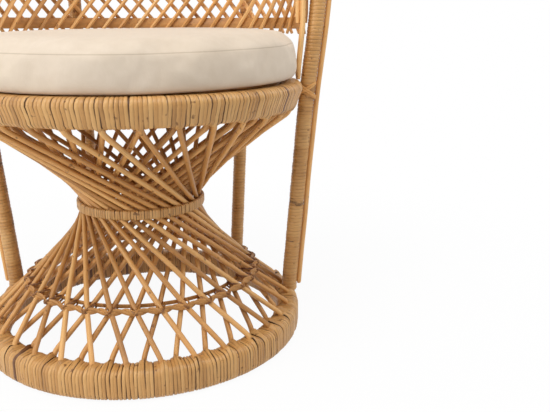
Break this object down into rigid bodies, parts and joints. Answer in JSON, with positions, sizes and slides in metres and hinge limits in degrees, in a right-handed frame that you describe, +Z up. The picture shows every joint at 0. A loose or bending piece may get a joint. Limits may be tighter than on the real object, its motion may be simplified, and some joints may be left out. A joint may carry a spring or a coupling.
{
  "type": "peacock chair",
  "caption": "Round rattan chair on an hourglass base of twisted crossing reeds, with latticed arms, a tall fan back and a loose round seat cushion.",
  "frame": {"origin": "on the floor, under the middle of the chair's outline", "axes": "+Z up, -Y towards the front of the chair, +X towards the right arm as seen from the front"},
  "size_m": [1.1026, 0.7368, 1.4888],
  "materials": {
    "wrapped_cane": "rattan hoop or pole wound with flat cane strips, satin",
    "bare_reed": "round peeled rattan reed, golden brown, satin",
    "pale_cane": "thin rattan cane, light golden brown, satin",
    "cushion_cloth": "plain woven cream cotton cover over a soft pad, matt"
  },
  "bodies": {
    "chair_frame": {"base_outer_hoop": "wrapped_cane", "seat_outer_hoop": "wrapped_cane", "waist_hoop": "wrapped_cane", "front_post_left": "wrapped_cane", "front_post_right": "wrapped_cane", "fan_rim": "wrapped_cane", "rear_post_left": "wrapped_cane", "rear_post_right": "wrapped_cane", "outer_reed_01": "bare_reed", "outer_reed_02": "bare_reed", "outer_reed_03": "bare_reed", "outer_reed_04": "bare_reed", "outer_reed_05": "bare_reed", "outer_reed_06": "bare_reed", "outer_reed_07": "bare_reed", "outer_reed_08": "bare_reed", "outer_reed_09": "bare_reed", "outer_reed_10": "bare_reed", "outer_reed_11": "bare_reed", "outer_reed_12": "bare_reed", "outer_reed_13": "bare_reed", "outer_reed_14": "bare_reed", "outer_reed_15": "bare_reed", "outer_reed_16": "bare_reed", "outer_reed_17": "bare_reed", "outer_reed_18": "bare_reed", "outer_reed_19": "bare_reed", "outer_reed_20": "bare_reed", "outer_reed_21": "bare_reed", "outer_reed_22": "bare_reed", "outer_reed_23": "bare_reed", "outer_reed_24": "bare_reed", "outer_reed_25": "bare_reed", "outer_reed_26": "bare_reed", "outer_reed_27": "bare_reed", "outer_reed_28": "bare_reed", "outer_reed_29": "bare_reed", "outer_reed_30": "bare_reed", "outer_reed_31": "bare_reed", "outer_reed_32": "bare_reed", "inner_cage_front": "bare_reed", "inner_cage_right": "bare_reed", "inner_cage_rear": "bare_reed", "inner_cage_left": "bare_reed", "seat_deck": "bare_reed", "mid_hoop_outer": "pale_cane", "mid_hoop_inner": "pale_cane", "lattice_inner": "pale_cane", "lattice_outer": "pale_cane", "side_cane_left": "pale_cane", "rim_cane": "pale_cane", "side_cane_right": "pale_cane", "arm_cane_rear_left": "pale_cane", "arm_cane_front_left": "pale_cane", "arm_cane_rear_right": "pale_cane", "arm_cane_front_right": "pale_cane", "fan_spokes_inner": "pale_cane", "fan_spokes_outer": "pale_cane", "fan_hoop": "pale_cane"},
    "cushion": {"seat_cushion": "cushion_cloth"}
  },
  "joints": [
    {"name": "cushion_lift", "type": "slide", "parent": "chair_frame", "child": "cushion", "axis": [0, 0, 1], "range_m": [0, 0.3]}
  ]
}
